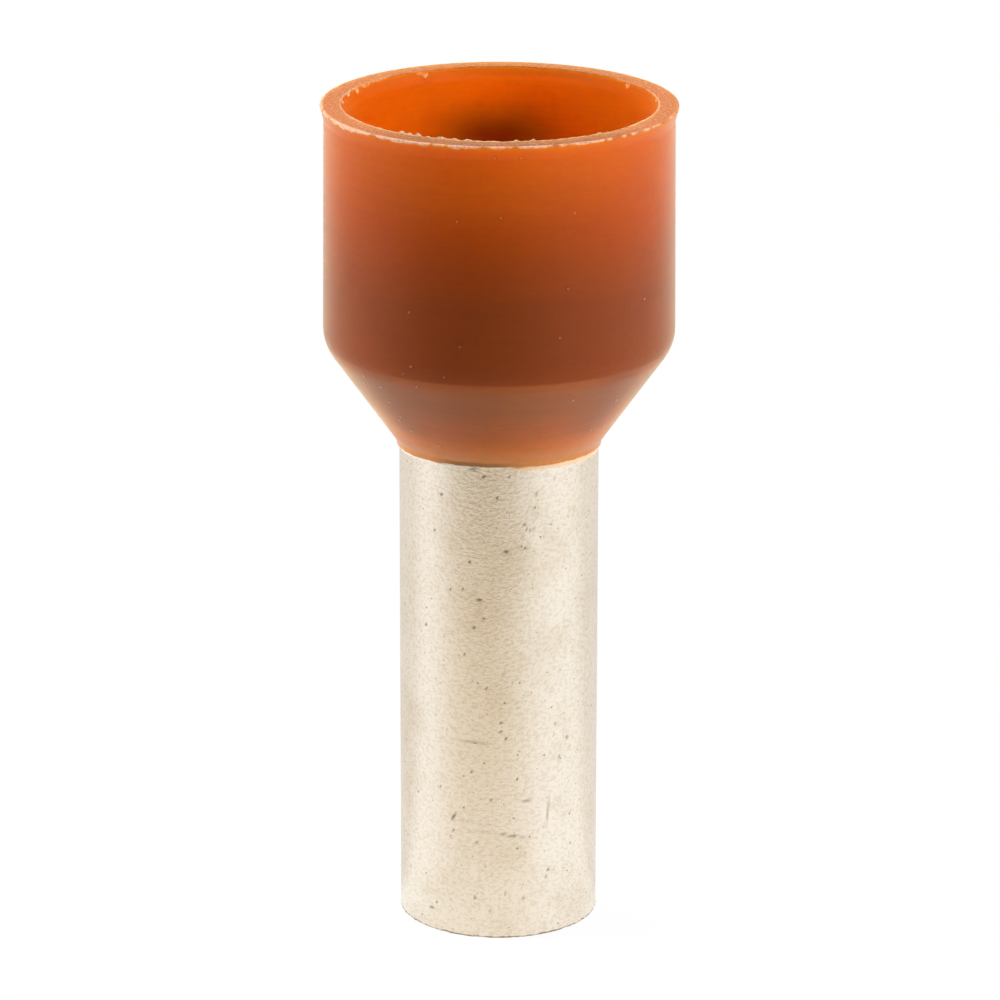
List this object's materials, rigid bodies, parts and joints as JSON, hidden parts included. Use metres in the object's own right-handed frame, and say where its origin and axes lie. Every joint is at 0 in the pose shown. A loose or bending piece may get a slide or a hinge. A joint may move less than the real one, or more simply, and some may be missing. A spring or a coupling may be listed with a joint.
{
  "type": "wire ferrule",
  "caption": "Insulated wire ferrule: a thin tinned tube, flared inside a plastic collar with a funnel, that binds the end of a stranded wire.",
  "frame": {"origin": "centre of the tube's cut end, which is the lowest face as the ferrule stands", "axes": "+Z along the tube towards the collar's mouth; X and Y across it, all directions alike"},
  "size_m": [0.0086, 0.0086, 0.0207],
  "materials": {
    "tinned_copper": "satin tin plate over copper",
    "collar_plastic": "translucent orange-brown moulding, softly glossy"
  },
  "bodies": {
    "root": {"metal_sleeve": "tinned_copper", "insulating_collar": "collar_plastic"}
  },
  "joints": []
}
